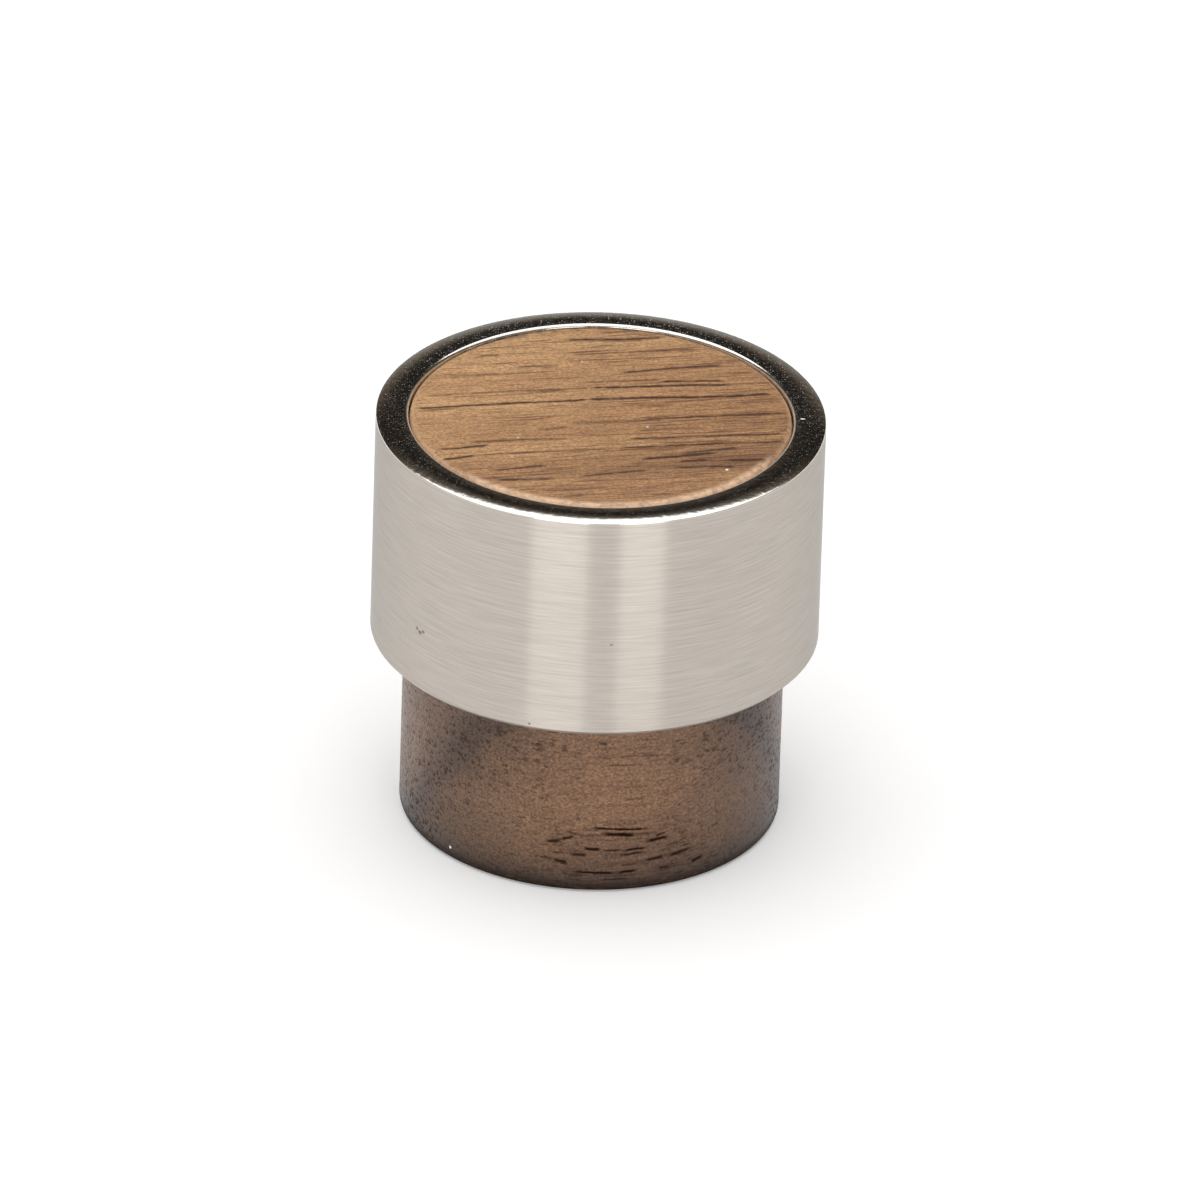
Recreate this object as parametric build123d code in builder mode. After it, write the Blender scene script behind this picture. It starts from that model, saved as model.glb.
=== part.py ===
from build123d import *
import os

# Round cabinet knob: a turned hardwood core, a metal collar bonded round its upper half,
# and a knurled brass insert in its underside for the fixing screw.
# Millimetres. +Z runs up the knob's axis, and Z = 0 is the underside that seats on the cabinet.

# Overall sizes
collar_radius = 16.0
collar_height = 17.2
stem_height = 14.05
core_radius = 13.6
rim_z = stem_height + collar_height

# Hardwood core: one piece from the underside to the disc that shows inside the rim
core_sink = 0.05
core_top_round = 0.5
core_foot_round = 0.6
core_height = rim_z - core_sink

# Collar: a plain sleeve whose mouth is relieved, so a thin dark gap shows round the wood
mouth_gap = 0.18
mouth_depth = 1.0
mouth_chamfer = 0.25
mouth_radius = core_radius + mouth_gap

# The buffed outer edge of the rim rolls off more in width than in depth: a wide arc that leaves
# the flat rim, then a small broken corner at the outer wall
rim_roll_width = 0.6
rim_roll_drop = 0.1
rim_corner_chamfer = 0.1
collar_foot_chamfer = 0.3
bore_foot_chamfer = 0.25

# M4 insert: two straight-knurled bands, a neck between them and a plain pilot at the inner end
insert_sink = 0.3
insert_length = 11.0
knurl_radius = 3.5
knurl_depth = 0.3
knurl_teeth = 24
band_length = 3.9
neck_length = 1.2
band_chamfer = 0.3
pilot_step = 0.1
pilot_radius = knurl_radius - knurl_depth - pilot_step
thread_minor_radius = 1.65
thread_lead_in_radius = 2.2
insert_end_z = insert_sink + insert_length

# Beyond the insert a narrower drilled hole leaves room for the tip of the screw
tip_hole_radius = 2.25
tip_hole_depth = 16.0
drill_point_angle = 118
drill_cone_slope = 90 - drill_point_angle / 2

# Collar: one turned profile, from the bore's foot up to the mouth, over the rim and down the outside
flat_rim_radius = collar_radius - rim_corner_chamfer - rim_roll_width

with BuildPart() as collar:
    with BuildSketch(Plane.XZ):
        with BuildLine():
            bore_wall = Line((core_radius, stem_height), (core_radius, rim_z - mouth_depth))
            relief_floor = Line(bore_wall @ 1, (mouth_radius, rim_z - mouth_depth))
            mouth_wall = Line(relief_floor @ 1, (mouth_radius, rim_z - mouth_chamfer))
            mouth_edge = Line(mouth_wall @ 1, (mouth_radius + mouth_chamfer, rim_z))
            rim = Line(mouth_edge @ 1, (flat_rim_radius, rim_z))
            roll = TangentArc(rim @ 1, (flat_rim_radius + rim_roll_width, rim_z - rim_roll_drop), tangent=(1, 0))
            corner = Line(roll @ 1, (collar_radius, rim_z - rim_roll_drop - rim_corner_chamfer))
            outer_wall = Line(corner @ 1, (collar_radius, stem_height))
            Line(outer_wall @ 1, bore_wall @ 0)
        make_face()
        foot_corners = vertices().group_by(Axis.Y)[0].sort_by(Axis.X)
        chamfer(foot_corners[-1], collar_foot_chamfer)
        chamfer(foot_corners[0], bore_foot_chamfer)
    revolve(axis=Axis.Z)

# Core: a cylinder with softened ends, drilled from below for the insert and the screw's tip
with BuildPart() as wood_core:
    with BuildSketch():
        Circle(core_radius)
    extrude(amount=core_height)
    fillet(wood_core.edges().sort_by(Axis.Z)[-1], core_top_round)
    fillet(wood_core.edges().sort_by(Axis.Z)[0], core_foot_round)
    with Locations(Plane(origin=(0, 0, 0), z_dir=(0, 0, -1))):
        CounterBoreHole(
            radius=tip_hole_radius,
            counter_bore_radius=knurl_radius,
            counter_bore_depth=insert_end_z,
            depth=tip_hole_depth,
        )
    with BuildSketch(Plane.XZ):
        with BuildLine():
            drill_tip = PolarLine(
                (tip_hole_radius, tip_hole_depth),
                tip_hole_radius,
                angle=180 - drill_cone_slope,
                length_mode=LengthMode.HORIZONTAL,
            )
            Line(drill_tip @ 1, (0, tip_hole_depth))
            Line((0, tip_hole_depth), drill_tip @ 0)
        make_face()
    revolve(axis=Axis.Z, mode=Mode.SUBTRACT)

# Insert: a turned blank with raised bands, then the knurl's V grooves, then the threaded bore.
# The knurl's tips seat on the wall of the core's pocket, and the pilot's end on its floor.
first_band_end = insert_sink + band_length
second_band_start = first_band_end + neck_length
second_band_end = second_band_start + band_length

with BuildPart() as threaded_insert:
    with BuildSketch(Plane.XZ):
        with BuildLine():
            Polyline(
                (0, insert_sink),
                (knurl_radius, insert_sink),
                (knurl_radius, first_band_end),
                (pilot_radius, first_band_end),
                (pilot_radius, second_band_start),
                (knurl_radius, second_band_start),
                (knurl_radius, second_band_end - band_chamfer),
                (pilot_radius, second_band_end),
                (pilot_radius, insert_end_z),
                (0, insert_end_z),
                close=True,
            )
        make_face()
    revolve(axis=Axis.Z)
    with BuildSketch(Plane.XY.offset(insert_sink)):
        with PolarLocations(knurl_radius, knurl_teeth):
            RegularPolygon(knurl_depth, side_count=4)
    extrude(amount=insert_length, mode=Mode.SUBTRACT)
    with Locations(Plane(origin=(0, 0, insert_sink), z_dir=(0, 0, -1))):
        CounterSinkHole(thread_minor_radius, thread_lead_in_radius, depth=insert_length)
    bore_end = threaded_insert.edges().filter_by(GeomType.CIRCLE).group_by(Axis.Z)[-1].sort_by(SortBy.RADIUS)[0]
    chamfer(bore_end, thread_lead_in_radius - thread_minor_radius)

os.makedirs("parts", exist_ok=True)
wood_core.part.label = "wood_core"
export_step(wood_core.part, "parts/wood_core.step")
collar.part.label = "collar"
export_step(collar.part, "parts/collar.step")
threaded_insert.part.label = "threaded_insert"
export_step(threaded_insert.part, "parts/threaded_insert.step")
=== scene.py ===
"""A round cabinet knob: a turned walnut core in a satin nickel collar, with a brass insert underneath.

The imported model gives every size. The three pieces are turned again here as smooth meshes of the same
form, and each gets the finish of the real material. Lengths are in metres unless a name ends in _mm.
"""

import logging
import math
from dataclasses import dataclass
from enum import Enum
from typing import Any

import bmesh
import bpy
from mathutils import Matrix, Vector


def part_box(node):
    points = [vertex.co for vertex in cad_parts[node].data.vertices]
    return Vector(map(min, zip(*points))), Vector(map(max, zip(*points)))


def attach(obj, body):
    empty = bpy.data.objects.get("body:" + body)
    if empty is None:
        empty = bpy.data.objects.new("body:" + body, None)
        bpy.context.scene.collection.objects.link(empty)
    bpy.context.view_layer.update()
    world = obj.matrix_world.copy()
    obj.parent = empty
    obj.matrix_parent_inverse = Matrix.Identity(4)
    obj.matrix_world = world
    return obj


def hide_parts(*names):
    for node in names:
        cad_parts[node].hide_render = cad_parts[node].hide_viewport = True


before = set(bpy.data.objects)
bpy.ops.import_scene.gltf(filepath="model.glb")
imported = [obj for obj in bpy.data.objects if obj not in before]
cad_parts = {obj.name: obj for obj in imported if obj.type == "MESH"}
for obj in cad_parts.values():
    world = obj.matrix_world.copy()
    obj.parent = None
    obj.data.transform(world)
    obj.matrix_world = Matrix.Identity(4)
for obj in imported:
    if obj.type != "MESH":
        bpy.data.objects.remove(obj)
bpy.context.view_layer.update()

log = logging.getLogger("cabinet_knob")

MM = 0.001
BODY = "root"
MERGE_DISTANCE = 1e-7
LONGEST_TAPER_MM = 0.5
TAPER_SHARE = 0.4

Material = bpy.types.Material
BMesh = bmesh.types.BMesh
Node = bpy.types.Node
Source = bpy.types.Node | bpy.types.NodeSocket
Colour = tuple[float, float, float, float]
Triple = tuple[float, float, float]
Span = tuple[float, float]
Grain = tuple[float, float, float, float]
Rescale = tuple[float, float, float, float]
StrokeRow = tuple[float, float, float, float, float, float]
Edges = list[bmesh.types.BMEdge]


class Slot(Enum):
    """The record's material slots."""

    WALNUT = "walnut"
    NICKEL = "satin_nickel"
    BRASS = "insert_brass"


# Small helpers


def hex_colour(code: str) -> Colour:
    """Turns an sRGB hex colour into linear light.

    Args:
        code: six hex digits, such as "b98a63".

    Returns:
        Linear red, green and blue, and an alpha of 1.
    """
    channels = [int(code[i : i + 2], 16) / 255 for i in (0, 2, 4)]
    linear = [c / 12.92 if c <= 0.04045 else ((c + 0.055) / 1.055) ** 2.4 for c in channels]
    return (linear[0], linear[1], linear[2], 1.0)


def grey(value: float) -> Colour:
    """A linear grey of that value."""
    return (value, value, value, 1.0)


class Nodes:
    """The nodes of one material or of the world, and the few patterns that the finishes share."""

    def __init__(self, owner: Material | bpy.types.World) -> None:
        """Starts with no nodes.

        Args:
            owner: the material or the world.
        """
        owner.use_nodes = True
        self.tree = owner.node_tree
        self.tree.nodes.clear()

    def add(
        self,
        kind: str,
        *inputs: Any,
        named: dict[str, Any] | None = None,
        stops: list[tuple[float, Colour]] | None = None,
        **settings: Any,
    ) -> Node:
        """Adds a node, with its settings, its constant inputs and its links.

        Args:
            kind: the node's type name, without "ShaderNode", and its operation if it has one.
            inputs: what goes into the sockets that it shows, in order. None leaves one as it is.
            named: what goes into others, by their names.
            stops: a colour ramp's positions and colours, from low to high.
            settings: its other attributes.

        Returns:
            The node. As an input it stands for its first output in use.
        """
        kind, _, operation = kind.partition(" ")
        node = self.tree.nodes.new("ShaderNode" + kind)
        if operation:
            node.operation = operation
        for name, value in settings.items():
            setattr(node, name, value)
        if stops:
            elements = node.color_ramp.elements
            while len(elements) < len(stops):
                elements.new(1.0)
            for element, (position, colour) in zip(elements, stops):
                element.position = position
                element.color = colour
        shown = [socket for socket in node.inputs if socket.enabled]
        filled = list(zip(shown, inputs))
        filled += [(node.inputs[key], value) for key, value in (named or {}).items()]
        for socket, value in filled:
            if isinstance(value, bpy.types.Node):
                value = next(output for output in value.outputs if output.enabled)
            if isinstance(value, bpy.types.NodeSocket):
                self.tree.links.new(value, socket)
            elif value is not None:
                socket.default_value = value
        return node

    def place_mm(self) -> Node:
        """The place on the piece, in millimetres in the knob's own frame."""
        return self.add("VectorMath SCALE", self.add("TexCoord").outputs["Object"], 1 / MM)

    def from_axis(self, place_mm: Source) -> Node:
        """How far the place lies from the knob's axis."""
        return self.add("VectorMath LENGTH", self.add("VectorMath MULTIPLY", place_mm, (1.0, 1.0, 0.0)))

    def unevenness(self, place: Source, grain: Grain) -> Node:
        """Noise whose grain has its own size along each axis.

        Args:
            place: position in millimetres.
            grain: features per millimetre along X, Y and Z, and octaves of finer noise.

        Returns:
            The noise, about 0.5 on average.
        """
        return self.add("TexNoise", self.add("Mapping", place, None, None, grain[:3]), 1.0, grain[3])

    def swayed(self, value: Source, wave: Source, by: float) -> Node:
        """The value plus centred noise times a constant."""
        return self.add("Math MULTIPLY_ADD", self.add("Math ADD", wave, -0.5), by, value)

    def levels(self, value: Source, points: tuple[Span, ...]) -> Node:
        """Draws a curve of straight stretches through points.

        Args:
            value: the value that the curve reads.
            points: (value, result) pairs, from the lowest value to the highest.

        Returns:
            The curve's result.
        """
        lowest, highest = points[0][0], points[-1][0]
        stops = [((at - lowest) / (highest - lowest), grey(result)) for at, result in points]
        return self.add("ValToRGB", self.add("MapRange", value, lowest, highest), stops=stops)

    def stained(self, colour: Source, *stains: tuple[Source, str]) -> Source:
        """The colour, mixed with one stain after another.

        Args:
            colour: the colour to start from.
            stains: how much of each stain there is, from 0 to 1, and its hex colour.

        Returns:
            The stained colour.
        """
        for amount, code in stains:
            colour = self.add("Mix", amount, colour, hex_colour(code), data_type="RGBA")
        return colour


# Finishes


@dataclass(frozen=True)
class Mark:
    """A nick, a pinhole or a speck on a surface, by its middle and its half sizes. Millimetres."""

    place: Triple
    size: Triple
    strength: float = 1.0
    full_share: float = 0.4

    def mask(self, nodes: Nodes, place_mm: Source) -> Node:
        """Finds the mark.

        Args:
            nodes: the material's nodes.
            place_mm: position in millimetres.

        Returns:
            The mark's strength at its middle, 0 past its edge.
        """
        scale = [1 / half for half in self.size]
        shift = [-p * s for p, s in zip(self.place, scale)]
        distance = nodes.add("VectorMath LENGTH", nodes.add("Mapping", place_mm, shift, None, scale))
        span = (self.full_share, 1.0, self.strength, 0.0)
        return nodes.add("MapRange", distance, *span, interpolation_type="SMOOTHSTEP")


@dataclass(frozen=True)
class Stroke:
    """A thin dark stroke along the grain, by its two ends. Millimetres along the grain and across it."""

    start: float
    end: float
    across: float
    across_at_end: float
    half_width: float
    depth: float

    def mask(self, nodes: Nodes, along: Source, across: Source, fade: Span) -> Node:
        """Finds the stroke.

        Args:
            nodes: the material's nodes.
            along: place along the grain.
            across: place across it.
            fade: where its side starts to fade and where it ends, in half widths from its middle.

        Returns:
            The stroke's depth at its middle, 0 past its edge.
        """
        middle = nodes.add("MapRange", along, self.start, self.end, self.across, self.across_at_end)
        off = nodes.add("Math ABSOLUTE", nodes.add("Math SUBTRACT", across, middle))
        side_start, side_end = fade[0] * self.half_width, fade[1] * self.half_width
        body = nodes.add("MapRange", off, side_start, side_end, self.depth, 0.0)
        half = (self.end - self.start) / 2
        taper = min(LONGEST_TAPER_MM, TAPER_SHARE * half)
        from_middle = nodes.add("Math ABSOLUTE", nodes.add("Math SUBTRACT", along, self.start + half))
        length = nodes.add("MapRange", from_middle, half - taper, half + 0.5 * taper, 1.0, 0.0)
        return nodes.add("Math MULTIPLY", body, length)


@dataclass(frozen=True)
class WoodPlace:
    """Where a point lies in the wood, for the walnut's patterns. Millimetres."""

    place_mm: Source
    grain: Source
    along: Source
    across: Source
    up: Source
    layer: Source
    radius: Source
    sideways: Source
    end_grain: Source


@dataclass(frozen=True)
class Walnut:
    """Turned walnut under a thin satin oil: brown, open-pored, with its grain across the knob."""

    grain_deg: float = 10.5
    layer_tilt_deg: float = 33.7
    disc_height_mm: float = 31.2
    core_radius_mm: float = 13.6
    pale: str = "d0a475"
    mid: str = "b2865d"
    dark: str = "5e3e29"
    line: str = "40200f"
    streak: str = "673f26"
    pore: str = "1e0e06"
    worn_and_highlit_edge: str = "eac3a0"
    # Pale edge colour: a painted highlight on the front of the disc's edge, and wear specks elsewhere
    shaded_edge: str = "4a3122"
    dust_white: str = "ffffff"
    # Painted shade: the turned side is tinted darker, as though less light reached it than the disc
    side_shade_tint: Triple = (0.50, 0.475, 0.51)
    underside_tone: float = 0.8
    roughness: float = 0.35
    pore_roughness: float = 0.8
    oil_ior: float = 1.5
    bump_mm: float = 0.05
    bump_strength: float = 0.35
    # Walnut has some ten vessels in a square millimetre
    vessels_per_mm: float = 3.2
    line_fall_off: float = 1.5
    line_fade: Span = (0.0, 2.1)
    vessel_fade: Span = (0.5, 1.75)

    # Unevenness: features per millimetre along the fibres and twice across them, and octaves. Real fibres
    # are some 0.03 mm wide, too fine to show, so these are drawn about five times as coarse
    fibres: Grain = (0.6, 7.0, 7.0, 3.0)
    mottle: Grain = (5.0, 7.0, 7.0, 2.0)
    slow_bend: Grain = (0.12, 0.35, 0.35, 1.0)
    quick_bend: Grain = (0.6, 1.5, 1.5, 2.0)
    tone_drift: Grain = (0.06, 0.45, 0.45, 3.0)
    line_wobble: Grain = (1.8, 2.4, 2.4, 3.0)
    line_breaks: Grain = (1.0, 3.0, 3.0, 3.0)
    fine_streaks: Grain = (0.30, 7.0, 7.0, 2.0)
    streak_zones: Grain = (0.10, 0.9, 0.9, 2.0)
    pale_edge_patches: Grain = (2.3, 2.3, 2.3, 2.0)
    edge_shade_breakup: Grain = (1.2, 1.2, 1.2, 3.0)
    vessel_wander: Grain = (0.06, 0.3, 0.3, 1.0)
    vessel_raggedness: Grain = (1.4, 3.4, 3.4, 2.0)
    open_vessel_sway: Grain = (1.2, 3.0, 3.0, 2.0)

    # How far unevenness moves or changes what it acts on, in millimetres or in tone
    slow_bend_mm: float = 0.5
    quick_bend_mm: float = 0.16
    line_wobble_mm: float = 0.20
    vessel_wander_mm: float = 0.9
    vessel_raggedness_mm: float = 0.34
    open_vessel_sway_mm: float = 0.2
    tone_drift_by: float = 0.45
    streak_zone_share: float = 0.3
    streak_slant: float = -0.5
    fibre_height: float = 0.4
    matt_pore: float = 0.9

    # Widths of the rounded edges: where each starts and where it is full, inwards or down from the edge
    disc_edge_drop_mm: Span = (1.0, 0.6)
    worn_and_highlit_edge_mm: Span = (0.95, 0.35)
    pale_corner_mm: Span = (0.4, 0.15)
    shaded_edge_mm: Span = (0.9, 0.1)
    underside_edge_mm: Span = (1.6, 0.6)

    # Two values of what each reads, and the two results that they give
    fibre_light: Rescale = (0.28, 0.72, 0.86, 1.13)
    mottle_on_side: Rescale = (0.0, 1.0, 1.8, 3.1)
    matt_foot: Rescale = (0.2, 1.1, 0.9, 0.0)
    painted_shade_along: Rescale = (-13.0, 13.0, -0.08, 0.14)
    line_strength: Rescale = (0.32, 0.48, 0.6525, 1.45)
    streak_density: Rescale = (-14.0, 14.0, -0.03, 0.04)
    streak_strength: Rescale = (0.70, 0.82, 0.0, 0.74)
    streaks_on_side: Rescale = (0.0, 1.0, 1.0, 0.45)
    front_highlight_and_wear: Rescale = (-9.0, -6.5, 1.0, 0.0)
    front_highlight_and_wear_strength: Rescale = (0.38, 0.58, 0.45, 0.9)
    specks_to_back: Rescale = (7.0, 11.0, 0.6, 0.0)
    speck_strength: Rescale = (0.40, 0.62, 0.5, 1.0)
    shaded_back: Rescale = (9.0, 12.5, 0.0, 1.0)
    edge_shade_breakup_strength: Rescale = (0.42, 0.62, 0.15, 1.0)
    vessel_size: Rescale = (0.0, 1.0, 0.14, 0.50)
    vessel_edge: Rescale = (-0.20, 0.14, 0.0, 1.0)
    vessel_strength: Rescale = (0.0, 1.0, 0.15, 0.60)
    vessels_on_side: Rescale = (0.0, 1.0, 0.4, 1.0)
    vessels_along: Rescale = (2.0, 11.0, 1.0, 0.8)
    open_front: Rescale = (-11.5, -10.5, 1.0, 0.0)

    # Place across the growth layers and how dark the wood is there
    layer_tones: tuple[Span, ...] = (
        (-14.0, 0.50), (-9.5, 0.56), (-8.0, 0.42), (-6.0, 0.36), (-3.8, 0.49), (-2.8, 0.60), (-2.0, 0.88),
        (-1.2, 0.92), (-0.2, 0.66), (1.2, 0.48), (7.5, 0.44), (9.4, 0.40), (10.4, 0.54), (12.4, 0.46),
        (13.4, 0.26), (14.6, 0.30), (15.2, 0.38), (16.6, 0.36), (18.2, 0.30), (19.4, 0.18), (20.6, 0.20),
        (21.4, 0.32), (24.5, 0.20), (26.5, 0.12), (28.4, 0.28),
    )
    # Place across the growth layers and how crowded the vessels are there
    vessel_bands: tuple[Span, ...] = (
        (-14.0, 0.7), (-8.6, 1.0), (-7.6, 0.55), (-5.2, 0.75), (-3.8, 1.0), (-0.6, 1.0), (1.2, 0.85),
        (8.0, 0.7),
    )
    # How squarely the side cuts the fibres, and the height above the underside, each with a tone; the second
    # is a painted contact shadow, darkest at the floor
    end_tones: tuple[Span, ...] = ((0.0, 1.0), (0.35, 0.85), (0.6, 0.70), (0.82, 0.58), (1.0, 0.68))
    foot_contact_shadow: tuple[Span, ...] = (
        (0.0, 0.05), (0.3, 0.06), (0.7, 0.17), (1.4, 0.41), (2.0, 0.60), (3.0, 0.78), (5.5, 1.0),
    )
    # The strokes of the disc, then of the stem's front: the fields of Stroke, row by row
    lines: tuple[StrokeRow, ...] = (
        (-0.6, 6.5, 11.6, 11.2, 0.16, 0.85), (-7.4, -5.5, 10.0, 9.9, 0.16, 0.70),
        (-1.0, 2.6, 9.7, 9.7, 0.13, 0.55), (-0.5, 8.4, 9.35, 9.1, 0.12, 0.72),
        (-9.4, -7.0, 8.8, 8.8, 0.12, 0.40), (-4.8, -1.8, 8.1, 7.9, 0.14, 0.70),
        (-9.6, -3.8, 7.1, 7.1, 0.13, 0.50), (2.5, 9.9, 6.2, 6.65, 0.14, 0.85),
        (-0.5, 5.2, 5.1, 4.8, 0.12, 0.65), (-12.0, 0.0, 4.35, 4.25, 0.12, 0.60),
        (0.0, 10.0, 4.2, 3.5, 0.15, 1.0), (5.0, 9.6, 4.5, 4.2, 0.13, 1.0),
        (-13.0, -0.4, 2.6, 2.5, 0.13, 0.95), (-0.6, 12.6, 2.5, 1.8, 0.15, 1.0),
        (9.8, 13.0, 0.8, 0.8, 0.16, 0.60), (-4.6, -2.6, -1.6, -1.4, 0.13, 0.70),
        (-2.4, 4.5, -0.9, -1.1, 0.22, 0.50), (2.8, 13.2, -0.9, -1.1, 0.15, 0.80),
        (2.2, 6.6, -2.5, -2.6, 0.24, 0.45), (-10.0, -2.8, -2.8, -3.1, 0.15, 0.65),
        (-12.3, -8.6, -3.7, -3.4, 0.16, 1.0), (1.4, 12.6, -3.7, -4.2, 0.14, 0.85),
        (-12.4, -9.6, -5.2, -4.8, 0.14, 0.95), (-10.0, -0.2, -4.8, -5.0, 0.11, 0.70),
        (0.5, 12.2, -4.95, -5.3, 0.12, 0.85), (1.8, 7.2, -6.65, -6.4, 0.15, 1.0),
        (4.8, 9.0, -6.1, -5.9, 0.12, 0.85), (-9.0, -5.0, -7.1, -6.8, 0.15, 0.80),
        (4.2, 6.6, -7.5, -7.5, 0.15, 0.95), (7.6, 10.8, -7.6, -7.7, 0.16, 1.0),
        (3.8, 8.3, -8.4, -8.6, 0.14, 0.95), (-9.0, -4.8, -8.7, -8.9, 0.13, 0.90),
        (-3.0, 2.0, -8.8, -8.4, 0.13, 0.80), (-3.2, -1.2, -9.4, -9.5, 0.12, 0.50),
        (-5.0, -3.0, -11.7, -11.5, 0.16, 0.60),
    )
    open_vessels: tuple[StrokeRow, ...] = (
        (-1.8, -1.3, 12.1, 12.1, 0.10, 0.7), (-0.6, 1.1, 11.1, 11.05, 0.05, 0.4),
        (-1.5, 1.1, 10.35, 10.3, 0.06, 0.5), (3.6, 4.1, 10.25, 10.25, 0.09, 0.6),
        (-0.4, 1.8, 8.6, 8.45, 0.05, 0.4), (-0.1, 1.5, 7.55, 7.5, 0.06, 0.5),
        (-1.4, 0.4, 7.2, 7.15, 0.04, 0.3), (-0.8, 1.0, 9.5, 9.6, 0.04, 0.3),
        (-2.2, 1.8, 5.27, 5.0, 0.075, 1.0), (-1.5, 1.1, 4.8, 4.6, 0.13, 1.0),
        (-3.9, -3.2, 4.95, 4.65, 0.08, 0.7), (-4.3, -3.4, 4.25, 4.55, 0.11, 0.9),
        (-5.3, -4.3, 3.92, 4.12, 0.12, 0.9), (1.8, 3.4, 4.0, 4.1, 0.11, 1.0),
        (2.4, 3.2, 4.3, 4.5, 0.09, 0.8), (-2.7, -1.5, 3.62, 3.5, 0.10, 1.0),
        (-1.4, 0.0, 3.46, 3.42, 0.07, 0.8), (0.1, 1.8, 3.42, 3.5, 0.09, 1.0),
        (-0.2, 1.6, 3.02, 3.15, 0.08, 0.9), (-3.6, -2.5, 3.1, 3.05, 0.11, 0.9),
        (-4.8, -3.8, 2.5, 2.35, 0.13, 0.9), (-5.8, -4.9, 2.65, 2.55, 0.08, 0.6),
        (1.7, 3.1, 2.42, 2.55, 0.10, 0.9), (3.4, 5.2, 2.5, 2.75, 0.11, 0.9),
        (3.2, 4.3, 3.35, 3.5, 0.07, 0.6), (6.7, 7.3, 3.9, 4.1, 0.10, 0.5),
        (-3.4, -0.4, 1.68, 1.6, 0.08, 1.0), (-0.3, 1.1, 1.6, 1.72, 0.09, 1.0),
        (2.7, 3.6, 1.65, 1.6, 0.10, 0.8), (5.2, 6.1, 1.58, 1.8, 0.12, 0.9),
        (-1.6, 0.6, 1.05, 1.1, 0.06, 0.7),
    )
    pinhole: Mark = Mark((10.73, -8.36, 7.78), (0.16, 0.16, 0.16))
    dust: tuple[Mark, ...] = (
        Mark((-9.75, -9.48, 1.04), (0.15, 0.15, 0.15)),
        Mark((9.01, -7.48, 31.2), (0.14, 0.18, 0.2)),
        Mark((3.31, -1.42, 31.2), (0.11, 0.15, 0.2), 0.7),
        Mark((-5.82, -3.72, 31.2), (0.11, 0.16, 0.2), 0.45),
        Mark((-6.21, -6.54, 31.2), (0.14, 0.18, 0.2), 0.3),
        Mark((-1.49, 8.06, 31.2), (0.09, 0.20, 0.2), 0.45),
        Mark((-6.16, 4.15, 31.2), (0.12, 0.14, 0.2), 0.25),
    )

    def build(self) -> Material:
        """Makes the material.

        Returns:
            The material.
        """
        material = bpy.data.materials.new("oiled_walnut")
        nodes = Nodes(material)
        wood = self._place(nodes)
        tones = [(0.0, hex_colour(self.pale)), (0.4, hex_colour(self.mid)), (1.0, hex_colour(self.dark))]
        colour = nodes.add("ValToRGB", self._tone(nodes, wood), stops=tones)
        fibre = nodes.unevenness(wood.grain, self.fibres)
        light = nodes.add("MapRange", fibre, *self.fibre_light)
        colour = nodes.add("VectorMath SCALE", colour, light)
        mottle = nodes.add("Math SUBTRACT", nodes.unevenness(wood.grain, self.mottle), 0.5)
        coarseness = nodes.add("MapRange", wood.sideways, *self.mottle_on_side)
        light = nodes.add("Math MULTIPLY_ADD", mottle, coarseness, 1.0)
        colour = nodes.add("VectorMath SCALE", colour, light)
        # Painted shade on the side, darker end grain, and a painted contact shadow at the foot
        colour = self._side(nodes, wood, colour)

        pores = self._pores(nodes, wood)
        colour = nodes.stained(
            colour,
            (self._streaks(nodes, wood), self.streak),
            (self._lines(nodes, wood), self.line),
            # Painted shade along the far edge of the disc
            (self._shaded_edge(nodes, wood), self.shaded_edge),
            # Painted highlight on the front of the disc's edge, with wear specks elsewhere
            (self._worn_and_highlit_edge(nodes, wood), self.worn_and_highlit_edge),
            (pores, self.pore),
            (self.pinhole.mask(nodes, wood.place_mm), self.pore),
            *((speck.mask(nodes, wood.place_mm), self.dust_white) for speck in self.dust),
        )

        # Pores and fibres are felt as well as seen. The oil shines less in the pores, and not at the foot
        raised = nodes.add("Math MULTIPLY", fibre, self.fibre_height)
        height = nodes.add("Math MULTIPLY_ADD", pores, -1.0, raised)
        relief = {"Height": height, "Strength": self.bump_strength, "Distance": self.bump_mm * MM}
        bump = nodes.add("Bump", named=relief)
        roughness = nodes.add("MapRange", pores, 0.0, 1.0, self.roughness, self.pore_roughness)
        surface = {"Base Color": colour, "Roughness": roughness, "Normal": bump, "IOR": self.oil_ior}
        oiled = nodes.add("BsdfPrincipled", named=surface)
        raw = nodes.add("BsdfDiffuse", colour, named={"Normal": bump})
        foot = nodes.add("MapRange", wood.up, *self.matt_foot)
        matt = nodes.add("Math MAXIMUM", foot, nodes.add("Math MULTIPLY", pores, self.matt_pore))
        nodes.add("OutputMaterial", nodes.add("MixShader", matt, oiled, raw))
        return material

    def _place(self, nodes: Nodes) -> WoodPlace:
        """Works out where a point lies in the wood.

        Args:
            nodes: the material's nodes.

        Returns:
            The place. X of the grain runs along the fibres.
        """
        place_mm = nodes.place_mm()
        turn = math.radians(self.grain_deg)
        grain = nodes.add("Mapping", place_mm, None, (0.0, 0.0, -turn))
        axes = nodes.add("SeparateXYZ", grain).outputs

        # The growth layers lean, so they cut the disc as lines and the stem as slanting bands
        tilt = math.radians(self.layer_tilt_deg)
        layer = nodes.add("VectorMath DOT_PRODUCT", grain, (0.0, math.cos(tilt), math.sin(tilt)))
        layer = nodes.swayed(layer, nodes.unevenness(grain, self.slow_bend), self.slow_bend_mm)
        layer = nodes.swayed(layer, nodes.unevenness(grain, self.quick_bend), self.quick_bend_mm)

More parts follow.
